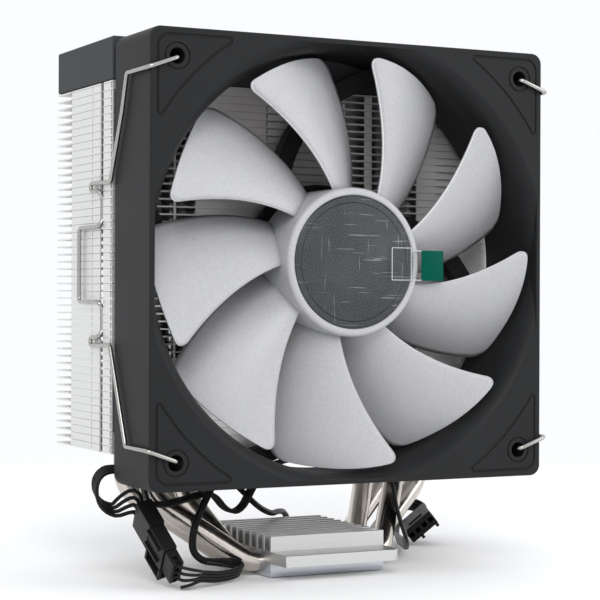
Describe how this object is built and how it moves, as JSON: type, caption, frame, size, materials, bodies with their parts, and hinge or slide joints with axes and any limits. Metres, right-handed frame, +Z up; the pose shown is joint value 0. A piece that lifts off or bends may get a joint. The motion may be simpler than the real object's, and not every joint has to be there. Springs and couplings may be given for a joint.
{
  "type": "cpu tower cooler",
  "caption": "Finned tower on U-shaped heat pipes over a slotted contact base, with an axial fan held on one side by two spring wire clips.",
  "frame": {"origin": "centre of the flat contact face under the base", "axes": "+Z up the tower from the contact face, -Y the way the fan faces, +X to the right as seen from the fan side"},
  "size_m": [0.1325, 0.102, 0.1469],
  "materials": {
    "copper": "milled, satin",
    "milled_aluminium": "milled, satin",
    "fin_aluminium": "rolled sheet, bright",
    "nickel": "nickel plate, glossy",
    "steel": "ground",
    "spring_steel": "drawn bright wire",
    "laminated_steel": "stamped",
    "bronze": "sintered",
    "ferrite": "bonded ferrite, matt",
    "black_plastic": "fine spark texture",
    "cover_plastic": "fine spark texture",
    "frosted_plastic": "frosted, translucent",
    "slate_foil": "smooth, scuffed film",
    "clear_film": "clear, scratched",
    "damping_rubber": "matt",
    "circuit_board": "solder mask",
    "led_body": "moulded",
    "label_foil": "foil",
    "nylon": "natural nylon",
    "wire_skin": "semi-gloss PVC",
    "connector_plastic": "moulded, semi-matt"
  },
  "bodies": {
    "heatsink": {"base_plate": "copper", "base_block": "milled_aluminium", "heat_pipe_1": "nickel", "heat_pipe_2": "nickel", "heat_pipe_3": "nickel", "heat_pipe_4": "nickel", "fin_stack": "fin_aluminium", "top_cover": "cover_plastic", "fan_frame": "black_plastic", "pad_lower_left": "damping_rubber", "pad_upper_left": "damping_rubber", "pad_lower_right": "damping_rubber", "pad_upper_right": "damping_rubber", "bearing_sleeve": "bronze", "thrust_pad": "nylon", "motor_label": "label_foil", "stator_core": "laminated_steel", "stator_coil_1": "copper", "stator_coil_2": "copper", "stator_coil_3": "copper", "stator_coil_4": "copper", "fan_board": "circuit_board", "led_1": "led_body", "led_2": "led_body", "led_3": "led_body", "led_4": "led_body", "light_lead": "wire_skin", "light_plug": "connector_plastic", "light_socket": "connector_plastic", "controller_lead": "wire_skin", "header_plug": "connector_plastic", "power_lead": "wire_skin", "power_plug": "connector_plastic"},
    "rotor": {"impeller": "frosted_plastic", "hub_disc": "slate_foil", "hub_film": "clear_film", "rotor_yoke": "laminated_steel", "magnet_ring": "ferrite", "rotor_shaft": "steel", "shaft_clip": "nylon"},
    "left_clip": {"clip_left": "spring_steel"},
    "right_clip": {"clip_right": "spring_steel"}
  },
  "joints": [
    {"name": "rotor_spin", "type": "hinge", "parent": "heatsink", "child": "rotor", "pos_m": [0, -0.0225, 0.0863], "axis": [0, -1, 0], "continuous": true},
    {"name": "left_clip_swing", "type": "hinge", "parent": "heatsink", "child": "left_clip", "pos_m": [-0.0525, -0.03625, 0.0863], "axis": [0, 0, 1], "range_deg": [0, 30]},
    {"name": "right_clip_swing", "type": "hinge", "parent": "heatsink", "child": "right_clip", "pos_m": [0.0525, -0.03625, 0.0863], "axis": [0, 0, -1], "range_deg": [0, 30]}
  ]
}
